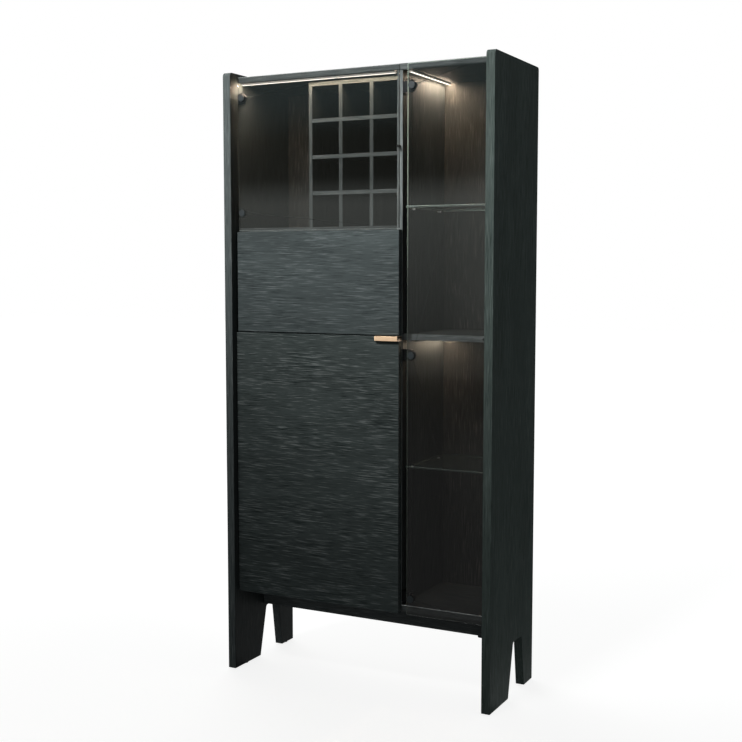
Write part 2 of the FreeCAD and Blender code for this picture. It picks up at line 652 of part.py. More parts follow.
def wood_hinge(name, mounting, edge_reach, spot, rotation):
    """Arm with two ears, pin, leaf and the mortise in the door, set on its axis."""
    bar_x = ("(-dims.wood_bar_half_width)", "dims.wood_bar_half_width")
    pieces = mounting(name)
    for side, ear in (
        ("upper", (WOOD_EAR_LOW, WOOD_EAR_HIGH)),
        ("lower", (f"(-{WOOD_EAR_HIGH})", f"(-{WOOD_EAR_LOW})")),
    ):
        pieces.append(box(f"{name}_{side}_bar", bar_x, ("0", CARCASS_REACH), ear))
        pieces.append(rod(f"{name}_{side}_ear", "z", ("0", "0"), ear, "dims.wood_ear_radius"))
    pin_room = "dims.wood_pin_radius + dims.pin_clearance"
    pin = rod(f"{name}_pin", "z", ("0", "0"), WOOD_HEIGHTS, "dims.wood_pin_radius")
    arm_bore = rod(f"{name}_arm_bore", "z", ("0", "0"), WOOD_HEIGHTS, pin_room)
    arm = cut(f"{name}_arm", fuse(f"{name}_arm_blank", pieces), [arm_bore])
    leaf_x = ("(-dims.leaf_half_width)", "dims.mortise_clearance")
    leaf_y = ("(-dims.leaf_half_width)", "dims.leaf_depth")
    leaf_z = ("(-dims.leaf_half_height)", "dims.leaf_half_height")
    leaf_bore = rod(f"{name}_leaf_bore", "z", ("0", "0"), WOOD_HEIGHTS, pin_room)
    leaf = cut(f"{name}_leaf", box(f"{name}_leaf_blank", leaf_x, leaf_y, leaf_z), [leaf_bore])
    mortise_x = (f"(-{edge_reach})", "dims.mortise_clearance")
    mortise_y = ("(-dims.mortise_clearance)", WOOD_BACK)
    mortise = box(f"{name}_mortise", mortise_x, mortise_y, (f"(-{MORTISE_REACH})", MORTISE_REACH))
    hinge = {"arms": arm, "pins": pin, "leaves": leaf}
    for family, piece in hinge.items():
        hinge[family] = place(group(f"{name}_{family}_set", [piece]), *spot, rotation)
    hinge["mortise"] = place(group(f"{name}_mortise_set", [mortise]), *spot, rotation)
    return hinge


def side_plate(name):
    """Arm root and plate that lie on the left side panel."""
    wall = "(-dims.door_side_gap - dims.door_axis_reach)"
    root = (WOOD_ROOT, f"({WOOD_ROOT} + dims.arm_thickness)")
    plate_run = (WOOD_ROOT, f"({WOOD_ROOT} + dims.plate_length)")
    return [
        box(f"{name}_cross", (wall, "dims.wood_bar_half_width"), root, WOOD_HEIGHTS),
        box(f"{name}_plate", (wall, f"({wall} + dims.plate_thickness)"), plate_run, WOOD_HEIGHTS),
    ]


def deck_flange(name):
    """Flange that lies on the front edge of the bar deck."""
    rise = ("(-dims.wood_bar_half_width)", "dims.flange_rise")
    return [box(f"{name}_flange", rise, (WOOD_ROOT, CARCASS_REACH), WOOD_HEIGHTS)]


WOOD_AXIS_Y = f"({DOOR_FRONT} + dims.wood_axis_depth)"
DOOR_EDGE = f"({LEFT} + dims.door_side_gap)"
FLAP_EDGE = f"({LEFT} + dims.flap_side_gap)"
DOOR_AXIS_X = f"({DOOR_EDGE} + dims.door_axis_reach)"
FLAP_AXIS_Z = f"({FLAP_BOTTOM} + dims.flap_axis_reach)"
door_hinges = []
for name, height in (
    ("door_top_hinge", f"({LOWER_DOOR_TOP} - dims.door_hinge_end_gap)"),
    ("door_bottom_hinge", f"({DOOR_BOTTOM} + dims.door_hinge_end_gap)"),
):
    spot = (DOOR_AXIS_X, WOOD_AXIS_Y, height)
    door_hinges.append(wood_hinge(name, side_plate, "dims.door_axis_reach", spot, FreeCAD.Rotation()))
flap_hinges = []
UP_FROM_EDGE = FreeCAD.Rotation(FreeCAD.Vector(0, 1, 0), -90)
for name, along in (
    ("flap_left_hinge", f"({FLAP_EDGE} + dims.flap_hinge_end_gap)"),
    ("flap_right_hinge", f"({LEFT_DOORS_END} - dims.flap_hinge_end_gap)"),
):
    spot = (along, WOOD_AXIS_Y, FLAP_AXIS_Z)
    flap_hinges.append(wood_hinge(name, deck_flange, "dims.flap_axis_reach", spot, UP_FROM_EDGE))
for owner, hinges in (("lower_door", door_hinges), ("bar_flap", flap_hinges)):
    for family in ("arms", "pins", "leaves"):
        node(group(f"{owner}_hinge_{family}", [hinge[family] for hinge in hinges]))


def wood_panel(name, left_edge, bottom, top):
    """Door board with eased arrises, its front face on the door plane."""
    across = f"({LEFT_DOORS_END} - {left_edge})"
    tall = f"({top} - {bottom})"
    outline = [("0", "0"), (across, "0"), (across, tall), ("0", tall)]
    panel = padded(name, "XZ_Plane", outline, "dims.door_thickness", reverse=True)
    rounded(panel, f"{name}_ease", "dims.door_ease", lambda b: near(b.YMin, 0) and near(b.YMax, 0))
    return place(panel, left_edge, DOOR_FRONT, bottom)


# Lower door with the copper pull let into its top right corner
PULL_X = (f"({LEFT_DOORS_END} - dims.pull_width)", LEFT_DOORS_END)
PULL_Z = (f"({LOWER_DOOR_TOP} - dims.pull_thickness)", LOWER_DOOR_TOP)
pull_notch = box("pull_notch", PULL_X, (DOOR_FRONT, DOOR_BACK), PULL_Z)
lower_blank = wood_panel("lower_door_blank", DOOR_EDGE, DOOR_BOTTOM, LOWER_DOOR_TOP)
node(cut("lower_door", lower_blank, [pull_notch] + [hinge["mortise"] for hinge in door_hinges]))
PULL_DEPTH = "dims.pull_reach + dims.door_thickness"
pull_outline = [
    ("0", "0"),
    ("dims.pull_width", "0"),
    ("dims.pull_width", PULL_DEPTH),
    ("0", PULL_DEPTH),
]
pull = padded("pull_handle", "XY_Plane", pull_outline, "dims.pull_thickness")
rounded(pull, "pull_ease", "dims.pull_round", lambda b: near(b.YMax, 0))
node(place(pull, PULL_X[0], f"({DOOR_FRONT} - dims.pull_reach)", PULL_Z[0]))

# Drop-down bar flap
flap_blank = wood_panel("bar_flap_blank", FLAP_EDGE, FLAP_BOTTOM, FLAP_TOP)
node(cut("bar_flap", flap_blank, [hinge["mortise"] for hinge in flap_hinges]))

# Push latches on the front edges of the divider and the display shelf
latches = []
GLASS_LATCH = (f"({GLASS_BACK} + dims.latch_clearance)", CARCASS_FRONT)
WOOD_LATCH = (f"({DOOR_BACK} + dims.latch_clearance)", CARCASS_FRONT)
for name, spot, span in (
    ("upper", ("dims.divider_offset", f"({GLASS_TOP} - dims.upper_latch_drop)"), GLASS_LATCH),
    ("flap", ("dims.divider_offset", f"({FLAP_TOP} - dims.flap_latch_drop)"), WOOD_LATCH),
    ("lower", ("dims.divider_offset", f"({DOOR_BOTTOM} + dims.lower_latch_rise)"), WOOD_LATCH),
    ("display", (f"({RIGHT} - dims.display_latch_inset)", middle(SHELF_LOWER)), GLASS_LATCH),
):
    latches.append(rod(f"{name}_latch", "y", spot, span, "dims.latch_radius"))
node(group("push_latches", latches))

# Light profiles: a base rail under the board, the strip on it and an opal cover over the strip
strips = []


def inset_span(span, amount):
    """A span drawn in at both ends."""
    return (f"({span[0]} + {amount})", f"({span[1]} - {amount})")


LIGHT_FRONT = f"({CARCASS_FRONT} + dims.light_setback)"
BAY_LIGHT_X = inset_span((LEFT, DIVIDER_LEFT), "dims.light_end_gap")
BAY_LIGHT_Y = (LIGHT_FRONT, f"({LIGHT_FRONT} + dims.light_width)")
DISPLAY_LIGHT_LEFT = f"({DIVIDER_RIGHT} + dims.display_light_offset)"
DISPLAY_LIGHT_X = (DISPLAY_LIGHT_LEFT, f"({DISPLAY_LIGHT_LEFT} + dims.light_width)")
DISPLAY_LIGHT_Y = inset_span(RUN, "dims.light_end_gap")
for name, x, y, upper in (
    ("bottle_bay", BAY_LIGHT_X, BAY_LIGHT_Y, TOP_LOWER),
    ("display_top", DISPLAY_LIGHT_X, DISPLAY_LIGHT_Y, TOP_LOWER),
    ("display_shelf", DISPLAY_LIGHT_X, DISPLAY_LIGHT_Y, SHELF_LOWER),
):
    lower = f"({upper} - dims.light_height)"
    rail_lower = f"({upper} - dims.light_base)"
    node(box(f"{name}_light_rail", x, y, (rail_lower, upper)))
    groove_x = inset_span(x, "dims.light_wall")
    groove_y = inset_span(y, "dims.light_wall")
    groove = box(f"{name}_groove", groove_x, groove_y, (f"({lower} + dims.light_wall)", rail_lower))
    node(cut(f"{name}_light_cover", box(f"{name}_cover_blank", x, y, (lower, rail_lower)), [groove]))
    strip_lower = f"({rail_lower} - dims.strip_thickness)"
    strips.append(box(f"{name}_strip", groove_x, groove_y, (strip_lower, rail_lower)))
node(group("light_strips", strips))

# Light driver behind the apron, with its mains inlet
DRIVER_LEFT = f"({RIGHT} - dims.driver_inset - dims.driver_width)"
DRIVER_LOWER = f"({APRON_LOWER} - dims.driver_drop)"
DRIVER_BACK = f"({APRON_BACK} + dims.driver_depth)"
DRIVER_TALL = "dims.driver_drop + dims.driver_rise"
driver_outline = [
    ("0", "0"),
    ("dims.driver_width", "0"),
    ("dims.driver_width", DRIVER_TALL),
    ("0", DRIVER_TALL),
]
driver = padded("light_driver", "XZ_Plane", driver_outline, "dims.driver_depth", reverse=True)
rounded(driver, "driver_round", "dims.driver_round", lambda b: near(b.XLength, 0) and near(b.ZLength, 0))
node(place(driver, DRIVER_LEFT, APRON_BACK, DRIVER_LOWER))
INLET_LEFT = f"({DRIVER_LEFT} + (dims.driver_width - dims.inlet_width) / 2)"
INLET_LOWER = f"({DRIVER_LOWER} + ({DRIVER_TALL} - dims.inlet_height) / 2)"
INLET_X = (INLET_LEFT, f"({INLET_LEFT} + dims.inlet_width)")
INLET_Y = (DRIVER_BACK, f"({DRIVER_BACK} + dims.inlet_depth)")
INLET_Z = (INLET_LOWER, f"({INLET_LOWER} + dims.inlet_height)")
node(box("driver_inlet", INLET_X, INLET_Y, INLET_Z))

# Every feature has to be sound before anything is written
doc.recompute()
for obj in doc.Objects:
    if "Invalid" in obj.State or "Error" in obj.State:
        raise RuntimeError(f"{obj.Name} failed: {obj.State}")
for label, obj in nodes.items():
    if obj.Shape.isNull() or not obj.Shape.isValid() or not obj.Shape.Solids:
        raise RuntimeError(f"{label} has no sound solid")

os.makedirs("parts", exist_ok=True)
for label, obj in nodes.items():
    obj.Shape.exportStep(f"parts/{label}.step")
print(f"{len(nodes)} sub-parts written")
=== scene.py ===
from math import cos, pi, radians, sin

import bmesh
import bpy
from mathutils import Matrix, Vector


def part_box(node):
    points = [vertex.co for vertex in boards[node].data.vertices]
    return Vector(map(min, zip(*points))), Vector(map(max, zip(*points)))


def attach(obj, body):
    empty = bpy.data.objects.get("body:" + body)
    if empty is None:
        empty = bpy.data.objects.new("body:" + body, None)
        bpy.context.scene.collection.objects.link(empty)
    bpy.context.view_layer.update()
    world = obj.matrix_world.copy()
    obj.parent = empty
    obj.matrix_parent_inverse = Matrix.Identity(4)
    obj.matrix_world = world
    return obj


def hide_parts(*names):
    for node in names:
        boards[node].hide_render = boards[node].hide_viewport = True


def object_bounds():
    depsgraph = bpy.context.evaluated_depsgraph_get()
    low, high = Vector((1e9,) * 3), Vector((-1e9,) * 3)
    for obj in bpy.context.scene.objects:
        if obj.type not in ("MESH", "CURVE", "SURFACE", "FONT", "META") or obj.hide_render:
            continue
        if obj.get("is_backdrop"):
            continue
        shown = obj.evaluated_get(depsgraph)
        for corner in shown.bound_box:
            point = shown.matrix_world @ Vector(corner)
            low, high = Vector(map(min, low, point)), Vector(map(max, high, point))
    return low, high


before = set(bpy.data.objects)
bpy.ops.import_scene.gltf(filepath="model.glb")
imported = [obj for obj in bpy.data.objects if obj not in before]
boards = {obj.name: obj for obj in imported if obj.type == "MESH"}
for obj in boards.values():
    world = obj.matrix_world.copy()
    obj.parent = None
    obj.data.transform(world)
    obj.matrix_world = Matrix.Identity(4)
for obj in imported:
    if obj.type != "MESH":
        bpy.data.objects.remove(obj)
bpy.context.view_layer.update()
scene = bpy.context.scene
scene.view_settings.view_transform = "Standard"

# Camera: at chest height, to the right of the cabinet's front, so that the doors
# and the right side panel both show. It looks a little down.
camera_data = bpy.data.cameras.new("camera")
camera_data.lens = 57.86
camera_data.sensor_width = 36.0
camera = bpy.data.objects.new("camera", camera_data)
camera.location = (1.634, -3.1945, 1.249)
camera.rotation_euler = (radians(85.04), 0.0, radians(27.45))
scene.collection.objects.link(camera)
scene.camera = camera


# Studio: a pale floor that runs into a white background, one soft lamp above the
# front, a broad one behind, and dim light from all round.
def add(tree, kind, inputs=None, **settings):
    """One node in a tree, with its settings and inputs; an input that is a socket is linked."""
    node = tree.nodes.new(kind)
    for key, value in settings.items():
        setattr(node, key, value)
    for key, value in (inputs or {}).items():
        if isinstance(value, bpy.types.NodeSocket):
            tree.links.new(value, node.inputs[key])
        else:
            node.inputs[key].default_value = value
    return node


def span(tree, value, low, high, at_low, at_high):
    """A value that goes from at_low to at_high while another goes from low to high."""
    return add(tree, "ShaderNodeMapRange", {
        "Value": value,
        "From Min": low,
        "From Max": high,
        "To Min": at_low,
        "To Max": at_high,
    }).outputs[0]


def seen_directly(tree):
    """1 for rays from the camera and those that metal and glass pass on, and 0 for the rest."""
    path = add(tree, "ShaderNodeLightPath")
    seen = path.outputs["Is Camera Ray"]
    for kind in ("Is Glossy Ray", "Is Transmission Ray"):
        seen = add(tree, "ShaderNodeMath", {0: seen, 1: path.outputs[kind]}, operation="MAXIMUM").outputs[0]
    return seen


world = bpy.data.worlds.new("studio")
world.use_nodes = True
air = world.node_tree
air.nodes.clear()
dim_light = add(air, "ShaderNodeBackground", {"Color": (0.93, 0.97, 1.0, 1.0), "Strength": 0.24})
white_background = add(air, "ShaderNodeBackground", {"Color": (1.0, 1.0, 1.0, 1.0), "Strength": 1.0})
air_mix = add(air, "ShaderNodeMixShader", {
    0: seen_directly(air),
    1: dim_light.outputs[0],
    2: white_background.outputs[0],
})
add(air, "ShaderNodeOutputWorld", {"Surface": air_mix.outputs[0]})
scene.world = world

FLOOR_HALF = 20.0
FLOOR_GLOW = 0.845
FADE_START = 1.0
FADE_END = 7.0
floor_mesh = bpy.data.meshes.new("floor")
floor_corners = [(-FLOOR_HALF, -FLOOR_HALF, 0), (FLOOR_HALF, -FLOOR_HALF, 0),
                 (FLOOR_HALF, FLOOR_HALF, 0), (-FLOOR_HALF, FLOOR_HALF, 0)]
floor_mesh.from_pydata(floor_corners, [], [(0, 1, 2, 3)])
floor = bpy.data.objects.new("floor", floor_mesh)
scene.collection.objects.link(floor)
pale_floor = bpy.data.materials.new("pale_floor")
pale_floor.use_nodes = True
ground = pale_floor.node_tree
ground.nodes.clear()
paint = add(ground, "ShaderNodeBsdfDiffuse", {"Color": (0.36, 0.36, 0.36, 1.0)})
spot = add(ground, "ShaderNodeTexCoord").outputs["Object"]
distance = add(ground, "ShaderNodeVectorMath", {0: spot}, operation="LENGTH").outputs["Value"]
fade = span(ground, distance, FADE_START, FADE_END, FLOOR_GLOW, 1.0)
glow = add(ground, "ShaderNodeEmission", {"Color": (1.0, 1.0, 0.995, 1.0), "Strength": fade})
bright_paint = add(ground, "ShaderNodeAddShader", {0: paint.outputs[0], 1: glow.outputs[0]})
floor_mix = add(ground, "ShaderNodeMixShader", {
    0: seen_directly(ground),
    1: paint.outputs[0],
    2: bright_paint.outputs[0],
})
add(ground, "ShaderNodeOutputMaterial", {"Surface": floor_mix.outputs[0]})
floor_mesh.materials.append(pale_floor)
floor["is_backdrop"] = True


def soft_lamp(name, place, aim, width, height, power):
    """Rectangular lamp that points at a spot and isn't seen itself."""
    lamp_data = bpy.data.lights.new(name, "AREA")
    lamp_data.shape = "RECTANGLE"
    lamp_data.size = width
    lamp_data.size_y = height
    lamp_data.energy = power
    lamp = bpy.data.objects.new(name, lamp_data)
    lamp.location = place
    lamp.rotation_euler = (Vector(aim) - Vector(place)).to_track_quat("-Z", "Y").to_euler()
    lamp.visible_camera = False
    scene.collection.objects.link(lamp)
    return lamp


front_lamp = soft_lamp("front_lamp", (-0.5, -1.9, 2.9), (-0.12, -0.15, 1.6), 1.4, 0.5, 9.0)
front_lamp.data.spread = radians(44)
soft_lamp("rear_lamp", (-2.2, 2.2, 2.4), (0.0, 0.1, 0.9), 2.5, 2.5, 40.0)


# Cloths round the set, seen only in gloss: a grey one behind on the right, and one in front
# that is dark up to knee height, paler towards eye height, dark above that and pale again
# at its head. They glow a little by themselves and light nothing.
def finish(name):
    """A new finish, with its tree of nodes and its shader."""
    made = bpy.data.materials.new(name)
    made.use_nodes = True
    return made, made.node_tree, made.node_tree.nodes["Principled BSDF"]


def axes_of(tree, kind):
    """X, Y and Z of one of the piece's own coordinates."""
    return add(tree, "ShaderNodeSeparateXYZ", {0: add(tree, "ShaderNodeTexCoord").outputs[kind]}).outputs


def ramp(tree, value, *stops):
    """Colour that changes with a value; each stop is a value and its colour."""
    node = add(tree, "ShaderNodeValToRGB", {"Fac": value})
    elements = node.color_ramp.elements
    for element, (place, colour) in zip(elements, (stops[0], stops[-1])):
        element.position = place
        element.color = (*colour, 1.0)
    for place, colour in stops[1:-1]:
        elements.new(place).color = (*colour, 1.0)
    return node.outputs["Color"]


def cloth(name, left, right, far, head, *tones):
    """Cloth that hangs to the floor and runs on along it towards the part; tones go up from its foot."""
    foot = 0.002
    near = far * 0.03
    verts = [(left, far, foot), (right, far, foot), (right, far, head), (left, far, head),
             (left, near, foot), (right, near, foot)]
    mesh = bpy.data.meshes.new(name)
    mesh.from_pydata(verts, [], [(0, 1, 2, 3), (0, 1, 5, 4)])
    weave, tree, shader = finish(name)
    shader.inputs["Base Color"].default_value = (0.0, 0.0, 0.0, 1.0)
    shader.inputs["Specular IOR Level"].default_value = 0.0
    shader.inputs["Emission Color"].default_value = (*tones[0][1], 1.0)
    shader.inputs["Emission Strength"].default_value = 1.0
    if len(tones) > 1:
        stops = [(height / head, tone) for height, tone in tones]
        tree.links.new(ramp(tree, axes_of(tree, "Generated")["Z"], *stops), shader.inputs["Emission Color"])
    weave.cycles.emission_sampling = "NONE"
    mesh.materials.append(weave)
    hung = bpy.data.objects.new(name, mesh)
    hung.visible_camera = False
    hung.visible_diffuse = False
    hung.visible_transmission = False
    hung.visible_shadow = False
    scene.collection.objects.link(hung)
    hung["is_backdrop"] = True


cloth("rear_cloth", 0.55, 4.5, 2.4, 3.4, (0.0, (0.05, 0.05, 0.05)))
cloth(
    "front_cloth", -8.0, 0.6, -3.6, 4.5,
    (0.0, (0.1, 0.1, 0.1)),
    (0.585, (0.05, 0.05, 0.05)),
    (0.595, (0.125, 0.13, 0.125)),
    (1.64, (0.455, 0.485, 0.46)),
    (1.8, (0.036, 0.036, 0.034)),
    (2.05, (0.03, 0.03, 0.028)),
    (2.3, (0.16, 0.22, 0.23)),
    (4.5, (0.16, 0.22, 0.23)),
)


# Side panels and legs: one black oak board on each side, 26 mm thick, cut out at the
# foot into a front and a rear leg. Stained, brushed along the grain, matt lacquer.
def noise(tree, place, scale, detail):
    """Noise of one scale."""
    cloud = add(tree, "ShaderNodeTexNoise", {"Vector": place, "Scale": scale, "Detail": detail})
    return cloud.outputs["Fac"]


def times(tree, first, second):
    """Product of two values."""
    return add(tree, "ShaderNodeMath", {0: first, 1: second}, operation="MULTIPLY").outputs[0]


def facing(tree, side, direction, share):
    """1 on most sides of a piece, and a share of that on the side that faces in one direction."""
    return span(tree, side, 0.5 * direction, 0.9 * direction, 1.0, share)


def toned(tree, colour, level):
    """Colour made lighter or darker."""
    return add(tree, "ShaderNodeVectorMath", {0: colour, "Scale": level}, operation="SCALE").outputs[0]


def relief(tree, shader, height, strength, distance):
    """Fine relief on a finish."""
    bump = add(tree, "ShaderNodeBump", {"Height": height, "Strength": strength, "Distance": distance})
    tree.links.new(bump.outputs[0], shader.inputs["Normal"])


def black_oak(name, grain, shift, tones, faces=(), painted_shade_end=None):
    """Stained and brushed oak with the grain along x, y or z, in a dark, a middle and a light tone.

    faces lists an axis, a direction on it and how much lighter or darker the side that faces there is
    painted, as painted light and shade; the last argument gives the axis along which the first part of the
    board is painted dark, a painted shade, and how far.
    """
    oak, tree, shader = finish(name)
    dark, middle, light = tones
    place = add(tree, "ShaderNodeTexCoord").outputs["Object"]
    swirl = add(tree, "ShaderNodeTexNoise", {"Vector": place, "Scale": 4.0, "Detail": 2.0})
    sway = toned(tree, swirl.outputs["Color"], 0.008)
    swayed = add(tree, "ShaderNodeVectorMath", {0: place, 1: sway}).outputs[0]

    def streaks(across, along, detail):
        scale = [across] * 3
        scale["xyz".index(grain)] = along
        stretched = add(tree, "ShaderNodeMapping", {"Vector": swayed, "Location": shift, "Scale": scale})
        return noise(tree, stretched.outputs[0], 1.0, detail)

    brushing = streaks(400.0, 19.0, 3.0)
    patches = streaks(15.0, 5.0, 3.0)
    clouding = streaks(13.0, 2.4, 2.0)
    depth = span(tree, patches, 0.4, 0.64, 0.75, 1.15)
    ridges = add(tree, "ShaderNodeMix", {0: depth, 2: 0.5, 3: brushing}, clamp_factor=False).outputs[0]
    stain = ramp(tree, ridges, (0.32, dark), (0.45, middle), (0.55, middle), (0.68, light))
    level = span(tree, clouding, 0.3, 0.7, 0.86, 1.14)
    sides = axes_of(tree, "Normal")
    # Sides that face the listed directions are painted lighter or darker: painted highlights and painted
    # shade.
    for axis, direction, share in faces:
        level = times(tree, level, facing(tree, sides[axis], direction, share))
    # The first part of the board along one axis is painted dark, a painted shade.
    if painted_shade_end:
        axis, reach = painted_shade_end
        run = axes_of(tree, "Generated")[axis]
        level = times(tree, level, span(tree, run, reach, reach * 1.2, 0.12, 1.0))
    tree.links.new(toned(tree, stain, level), shader.inputs["Base Color"])
    tree.links.new(span(tree, ridges, 0.0, 1.0, 0.7, 0.5), shader.inputs["Roughness"])
    relief(tree, shader, ridges, 0.5, 0.001)
    shader.inputs["Specular IOR Level"].default_value = 0.05
    return oak


def dress(name, *finishes):
    """Give a piece its finishes in place of the plain one."""
    slots = boards[name].data.materials
    slots.clear()
    for one in finishes:
        slots.append(one)


# The right panel's tones are a darker, shaded copy of the left's: painted shade. Both inner faces and the
# left outer face are painted darker as painted shade, and the right front edge lighter as a painted
# highlight.
LIT_LEFT_SIDE_TONES = ((0.04, 0.049, 0.048), (0.072, 0.084, 0.083), (0.118, 0.134, 0.131))
SHADED_RIGHT_SIDE_TONES = ((0.03, 0.041, 0.037), (0.055, 0.071, 0.065), (0.087, 0.108, 0.1))
dress("left_side_panel", black_oak(
    "left_side_oak", "z", (0.0, 0.0, 0.0), LIT_LEFT_SIDE_TONES, [("X", 1, 0.34), ("X", -1, 0.5)],
))
dress("right_side_panel", black_oak(
    "right_side_oak", "z", (7.0, 3.0, 1.0), SHADED_RIGHT_SIDE_TONES, [("Y", -1, 1.15), ("X", -1, 0.5)],
))


# Carcass boards: 18 mm oak, most with the front edge painted lighter, a painted highlight. Top, bottom,
# deck, ceiling, display shelf and apron lie, the divider stands, and all of these are on dowels. The
# cupboard shelf lies on pegs, and the thin back is screwed on.
def ease(name, width, edge_finish=0):
    """Break the sharp arrises of a piece."""
    weld = boards[name].modifiers.new("weld", "WELD")
    weld.merge_threshold = 0.00001
    arris = boards[name].modifiers.new("arris", "BEVEL")
    arris.width = width
    arris.segments = 2
    arris.limit_method = "ANGLE"
    arris.angle_limit = radians(40)
    arris.use_clamp_overlap = False
    arris.harden_normals = True
    arris.material = edge_finish


BOARD_ARRIS = 0.0008
BASE_ARRIS = 0.0016
INNER_TONES = ((0.02, 0.0235, 0.0225), (0.036, 0.04, 0.0395), (0.064, 0.07, 0.068))
BACK_TONES = ((0.015, 0.015, 0.014), (0.03, 0.0305, 0.028), (0.078, 0.073, 0.065))
# Tones for the bottom panel's bevel, painted almost white: a painted highlight along its arrises.
PAINTED_HIGHLIGHT_TONES = ((0.66, 0.7, 0.68), (0.8, 0.84, 0.82), (0.9, 0.94, 0.92))
# lying_oak, shelf_oak and standing_oak have front edges painted 2.5 to 5.5 times lighter, a painted
# highlight; shelf_oak's first tenth along x, beside the pull, is painted dark, a painted shadow.
plain_oak = black_oak("plain_oak", "x", (2.0, 9.0, 5.0), INNER_TONES)
lying_oak = black_oak("lying_oak", "x", (2.0, 5.0, 8.0), INNER_TONES, [("Y", -1, 2.5)])
shelf_oak = black_oak("shelf_oak", "x", (1.0, 4.0, 7.0), INNER_TONES, [("Y", -1, 4.4)], ("X", 0.1))
standing_oak = black_oak("standing_oak", "z", (4.0, 1.0, 6.0), INNER_TONES, [("Y", -1, 5.5)])
back_oak = black_oak("back_oak", "z", (9.0, 6.0, 2.0), BACK_TONES)
painted_highlight_arris = black_oak("painted_highlight_arris", "x", (5.0, 5.0, 3.0), PAINTED_HIGHLIGHT_TONES, (), ("Z", 0.5))
for name, oak in (
    ("top_panel", lying_oak),
    ("bar_deck", plain_oak),
    ("bar_ceiling", lying_oak),
    ("display_shelf", shelf_oak),
    ("apron_rail", lying_oak),
    ("cupboard_shelf", plain_oak),
    ("center_divider", standing_oak),
):
    dress(name, oak)
    ease(name, BOARD_ARRIS)
# The bottom panel's bevelled arrises take the painted highlight; their lower half is painted dark again, a
# painted shade.
dress("bottom_panel", lying_oak, painted_highlight_arris)
ease("bottom_panel", BASE_ARRIS, 1)
dress("back_panel", back_oak)

# Bottle rack: thin oak boards with front edges painted lighter, a painted highlight, halved into
# each other, which makes twelve cells for lying bottles. It stands on the bar ceiling, against the divider.
RACK_ARRIS = 0.0006
RACK_TONES = ((0.013, 0.016, 0.015), (0.022, 0.025, 0.0245), (0.036, 0.04, 0.039))
# Front edges painted about five times lighter: a painted highlight.
rack_upright_oak = black_oak("rack_upright_oak", "z", (1.0, 9.0, 3.0), RACK_TONES, [("Y", -1, 4.6)])
rack_cross_oak = black_oak("rack_cross_oak", "x", (6.0, 2.0, 4.0), RACK_TONES, [("Y", -1, 5.4)])
for oak, names in (
    (rack_upright_oak, ("rack_side", "rack_upright_1", "rack_upright_2")),
    (rack_cross_oak, ("rack_top", "rack_cross_board_1", "rack_cross_board_2", "rack_cross_board_3")),
):
    for name in names:
        dress(name, oak)
        ease(name, RACK_ARRIS)

# Cupboard door and bar flap: 20 mm oak panels with the grain lying across, more strongly
# marked than on the carcass. Each hangs on two hinges whose leaves are let into it.
FLAP_TONES = ((0.027, 0.034, 0.034), (0.051, 0.062, 0.062), (0.1, 0.114, 0.114))
DOOR_TONES = ((0.017, 0.023, 0.022), (0.045, 0.055, 0.053), (0.135, 0.15, 0.146))
dress("bar_flap", black_oak("flap_oak", "x", (3.0, 7.0, 2.0), FLAP_TONES))
dress("lower_door", black_oak("lower_door_oak", "x", (8.0, 4.0, 9.0), DOOR_TONES))


# Glass doors: 5 mm toughened panes, faintly grey, with ground edges whose tints are painted light and
# shade by the way each edge faces. The tall pane's standing edge is painted light, for the light of the
# strip above it, and painted darker further down, a painted shade.
def glass(name, tint, cover, rough):
    """Thin glass, seen through but for the share that its tint covers."""
    pane, tree, shader = finish(name)
    shader.inputs["Base Color"].default_value = (*tint, 1.0)
    shader.inputs["Alpha"].default_value = cover
    shader.inputs["IOR"].default_value = 1.9
    shader.inputs["Specular IOR Level"].default_value = 1.0
    wipe = noise(tree, add(tree, "ShaderNodeTexCoord").outputs["Object"], 6.0, 4.0)
    tree.links.new(span(tree, wipe, 0.0, 1.0, rough, rough * 2.5), shader.inputs["Roughness"])
    return pane


def cut_edge(name, tint):
    """Edge of a pane, less clear and less glossy than its face."""
    edge = glass(name, tint, 0.7, 0.12)
    edge.node_tree.nodes["Principled BSDF"].inputs["Specular IOR Level"].default_value = 0.1
    return edge


def ground_edge_with_painted_light(name, upright, lying, painted_foot_shade=None):
    """Edge painted with one tint where it stands and one where it lies, as painted light; the last argument
    paints its lower part darker, a painted shade.
    """
    edge = cut_edge(name, lying)
    tree = edge.node_tree
    flat = add(tree, "ShaderNodeMath", {0: axes_of(tree, "Normal")["Z"]}, operation="ABSOLUTE").outputs[0]
    # The tint by which way the edge faces is painted light and shade; the foot is painted darker, a painted
    # shade.
    tint = ramp(tree, flat, (0.2, upright), (0.5, lying))
    if painted_foot_shade is not None:
        tint = toned(tree, tint, span(tree, axes_of(tree, "Generated")["Z"], 0.6, 0.85, painted_foot_shade, 1.0))
    tree.links.new(tint, tree.nodes["Principled BSDF"].inputs["Base Color"])
    return edge


PANE_ARRIS = 0.0018
door_glass = glass("door_glass", (0.01, 0.011, 0.009), 0.24, 0.02)
# Painted edge light: the upper pane's standing edge is painted dark, the display pane's standing edge
# painted light.
upper_edge = ground_edge_with_painted_light("upper_door_edge", (0.03, 0.033, 0.028), (0.34, 0.38, 0.37))
display_edge = ground_edge_with_painted_light("display_door_edge", (0.5, 0.6, 0.5), (0.3, 0.33, 0.32), 0.16)
for name, edge in (("upper_glass_door", upper_edge), ("display_glass_door", display_edge)):
    dress(name, door_glass, edge)
    ease(name, PANE_ARRIS, 1)

